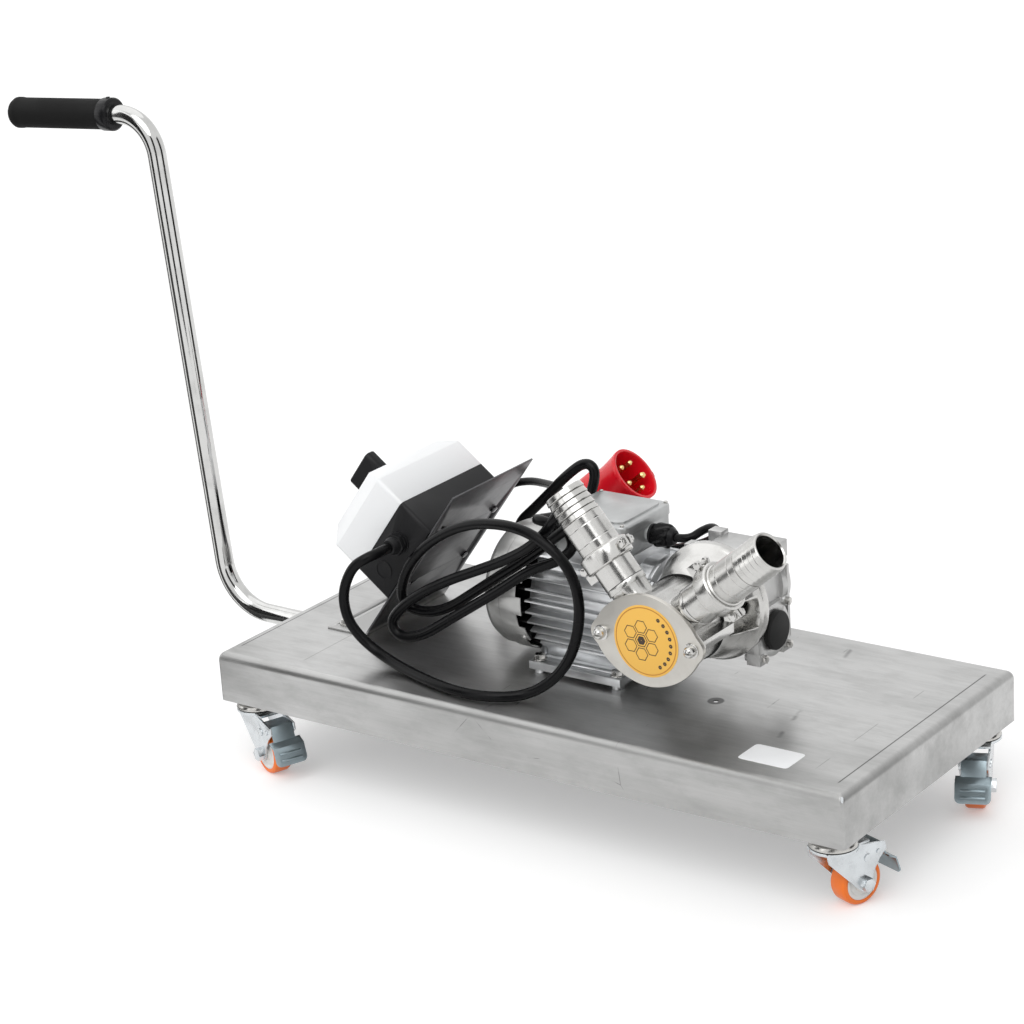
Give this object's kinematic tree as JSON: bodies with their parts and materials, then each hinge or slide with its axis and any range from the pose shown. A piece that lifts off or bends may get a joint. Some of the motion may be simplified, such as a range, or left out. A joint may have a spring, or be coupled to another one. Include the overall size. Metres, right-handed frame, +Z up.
{
  "type": "honey_pump",
  "caption": "Honey pump on a stainless four-caster trolley: geared electric motor, impeller pump head with two hose tails, switch box on a slanted bracket, red industrial plug and push handle.",
  "frame": {"origin": "centre of the rigid object's bounding box in X and Y, on the floor under the caster wheels", "axes": "X along the deck away from the push handle, Y from the pump side to the back, Z up"},
  "size_m": [1.2182, 0.389, 0.7114],
  "materials": {
    "deck_steel": "brushed stainless sheet, scuffed",
    "tube_chrome": "bright plated tube",
    "grip_black": "fine textured rubber",
    "collar_black": "smooth black moulding",
    "motor_cast": "die-cast, light satin",
    "bolt_zinc": "bright zinc",
    "cowl_satin": "pale satin paint",
    "fan_plastic": "dark moulding",
    "shaft_steel": "ground steel",
    "box_grey": "light grey cast, satin",
    "gear_cast": "bead-blasted casting",
    "seal_black": "soft black rubber",
    "gear_bronze": "machined bronze",
    "pump_polished": "polished stainless",
    "cover_satin": "satin stainless",
    "label_amber": "printed film, semi-matt",
    "bracket_steel": "dark brushed sheet",
    "box_black": "moulded black",
    "box_white": "moulded pale grey-white",
    "cable_black": "satin rubber sheath",
    "plug_red": "moulded red",
    "pin_brass": "plain brass",
    "caster_zinc": "zinc plated sheet",
    "hub_white": "moulded white",
    "tyre_orange": "smooth polyurethane",
    "pedal_grey": "grey plated sheet"
  },
  "bodies": {
    "trolley": {"deck_tray": "deck_steel", "under_frame": "deck_steel", "handle_tube": "tube_chrome", "handle_grip": "grip_black", "grip_collar": "collar_black", "motor_frame": "motor_cast", "motor_foot": "motor_cast", "drive_end_shield": "motor_cast", "motor_bolts": "bolt_zinc", "terminal_box_screws": "bolt_zinc", "gearbox_bolts": "bolt_zinc", "bracket_screws": "bolt_zinc", "caster_heads": "bolt_zinc", "fan_cowl": "cowl_satin", "terminal_box": "box_grey", "terminal_box_lid": "box_grey", "gearbox_housing": "gear_cast", "gearbox_cover": "gear_cast", "worm_end_cap": "seal_black", "body_seals": "seal_black", "pump_body": "pump_polished", "pump_lantern": "pump_polished", "cover_nuts": "pump_polished", "clamp_left": "pump_polished", "clamp_right": "pump_polished", "hose_tail_left": "pump_polished", "hose_tail_right": "pump_polished", "pump_cover": "cover_satin", "cover_label": "label_amber", "box_bracket": "bracket_steel", "control_box_base": "box_black", "motor_gland": "box_black", "box_glands": "box_black", "control_box_lid": "box_white", "supply_cable": "cable_black", "motor_cable": "cable_black", "plug_body": "plug_red", "plug_pins": "pin_brass"},
    "motor_rotor": {"rotor_shaft": "shaft_steel", "cooling_fan": "fan_plastic"},
    "pump_rotor": {"pump_shaft": "shaft_steel", "worm_wheel": "gear_bronze", "impeller": "seal_black"},
    "knob": {"switch_knob": "box_black"},
    "caster_front_left": {"fork_front_left": "caster_zinc"},
    "wheel_front_left": {"wheel_hub_front_left": "hub_white", "tyre_front_left": "tyre_orange"},
    "pedal_front_left": {"brake_pedal_front_left": "pedal_grey"},
    "caster_front_right": {"fork_front_right": "caster_zinc"},
    "wheel_front_right": {"wheel_hub_front_right": "hub_white", "tyre_front_right": "tyre_orange"},
    "pedal_front_right": {"brake_pedal_front_right": "pedal_grey"},
    "caster_rear_right": {"fork_rear_right": "caster_zinc"},
    "wheel_rear_right": {"wheel_hub_rear_right": "hub_white", "tyre_rear_right": "tyre_orange"},
    "pedal_rear_right": {"brake_pedal_rear_right": "pedal_grey"},
    "caster_rear_left": {"fork_rear_left": "caster_zinc"},
    "wheel_rear_left": {"wheel_hub_rear_left": "hub_white", "tyre_rear_left": "tyre_orange"},
    "pedal_rear_left": {"brake_pedal_rear_left": "pedal_grey"}
  },
  "joints": [
    {"name": "motor_spin", "type": "hinge", "parent": "trolley", "child": "motor_rotor", "pos_m": [0.29661, 0, 0.216], "axis": [1, 0, 0], "continuous": true},
    {"name": "pump_spin", "type": "hinge", "parent": "trolley", "child": "pump_rotor", "pos_m": [0.36661, -0.145, 0.256], "axis": [0, 1, 0], "continuous": true},
    {"name": "switch_turn", "type": "hinge", "parent": "trolley", "child": "knob", "pos_m": [-0.09302, -0.015, 0.30602], "axis": [-0.7986, 0, 0.6018], "range_deg": [0, 90]},
    {"name": "swivel_front_left", "type": "hinge", "parent": "trolley", "child": "caster_front_left", "pos_m": [-0.17739, -0.151, 0.0725], "axis": [0, 0, 1], "continuous": true},
    {"name": "roll_front_left", "type": "hinge", "parent": "caster_front_left", "child": "wheel_front_left", "pos_m": [-0.15229, -0.16094, 0.025], "axis": [0.3681, 0.9298, 0], "continuous": true},
    {"name": "brake_front_left", "type": "hinge", "parent": "caster_front_left", "child": "pedal_front_left", "pos_m": [-0.13648, -0.1672, 0.055], "axis": [0.3681, 0.9298, 0], "range_deg": [0, 8]},
    {"name": "swivel_front_right", "type": "hinge", "parent": "trolley", "child": "caster_front_right", "pos_m": [0.56461, -0.151, 0.0725], "axis": [0, 0, 1], "continuous": true},
    {"name": "roll_front_right", "type": "hinge", "parent": "caster_front_right", "child": "wheel_front_right", "pos_m": [0.57326, -0.12543, 0.025], "axis": [-0.9472, 0.3206, 0], "continuous": true},
    {"name": "brake_front_right", "type": "hinge", "parent": "caster_front_right", "child": "pedal_front_right", "pos_m": [0.57871, -0.10932, 0.055], "axis": [-0.9472, 0.3206, 0], "range_deg": [0, 8]},
    {"name": "swivel_rear_right", "type": "hinge", "parent": "trolley", "child": "caster_rear_right", "pos_m": [0.56461, 0.151, 0.0725], "axis": [0, 0, 1], "continuous": true},
    {"name": "roll_rear_right", "type": "hinge", "parent": "caster_rear_right", "child": "wheel_rear_right", "pos_m": [0.57498, 0.12607, 0.025], "axis": [0.9232, 0.3843, 0], "continuous": true},
    {"name": "brake_rear_right", "type": "hinge", "parent": "caster_rear_right", "child": "pedal_rear_right", "pos_m": [0.58152, 0.11038, 0.055], "axis": [0.9232, 0.3843, 0], "range_deg": [0, 8]},
    {"name": "swivel_rear_left", "type": "hinge", "parent": "trolley", "child": "caster_rear_left", "pos_m": [-0.17739, 0.151, 0.0725], "axis": [0, 0, 1], "continuous": true},
    {"name": "roll_rear_left", "type": "hinge", "parent": "caster_rear_left", "child": "wheel_rear_left", "pos_m": [-0.2025, 0.16094, 0.025], "axis": [-0.3681, -0.9298, 0], "continuous": true},
    {"name": "brake_rear_left", "type": "hinge", "parent": "caster_rear_left", "child": "pedal_rear_left", "pos_m": [-0.2183, 0.1672, 0.055], "axis": [-0.3681, -0.9298, 0], "range_deg": [0, 8]}
  ],
  "couplings": [
    {"joint": "pump_spin", "follows": "motor_spin", "ratio": -0.13333}
  ]
}
